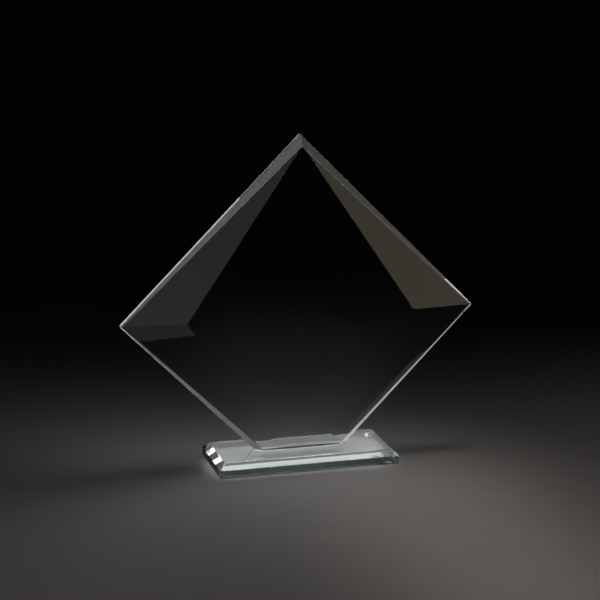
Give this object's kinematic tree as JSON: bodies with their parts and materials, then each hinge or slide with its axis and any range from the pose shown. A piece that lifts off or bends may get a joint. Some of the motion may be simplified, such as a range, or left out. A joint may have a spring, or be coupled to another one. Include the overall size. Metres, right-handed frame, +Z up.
{
  "type": "crystal award",
  "caption": "Faceted clear glass diamond plate standing upright on a bevelled rectangular glass base with clear bumper feet.",
  "frame": {"origin": "on the surface that the feet stand on, under the centre of the base", "axes": "+X along the width to the right when seen from the front, +Y to the back so that the faceted front faces -Y, +Z up"},
  "size_m": [0.2494, 0.056, 0.231],
  "materials": {
    "plate_glass": "clear float glass with a green cast in its edges, polished faces, facets and bevels",
    "base_glass": "clear float glass with a green cast in its edges, polished faces and bevels",
    "clear_adhesive": "clear cured adhesive, thin enough to look like a wetted line",
    "clear_bumper": "clear soft polyurethane, smooth and slightly hazy"
  },
  "bodies": {
    "root": {"diamond_plate": "plate_glass", "base_plate": "base_glass", "bond_film": "clear_adhesive", "foot_front_left": "clear_bumper", "foot_front_right": "clear_bumper", "foot_back_left": "clear_bumper", "foot_back_right": "clear_bumper", "foot_adhesive_front_left": "clear_adhesive", "foot_adhesive_front_right": "clear_adhesive", "foot_adhesive_back_left": "clear_adhesive", "foot_adhesive_back_right": "clear_adhesive"}
  },
  "joints": []
}
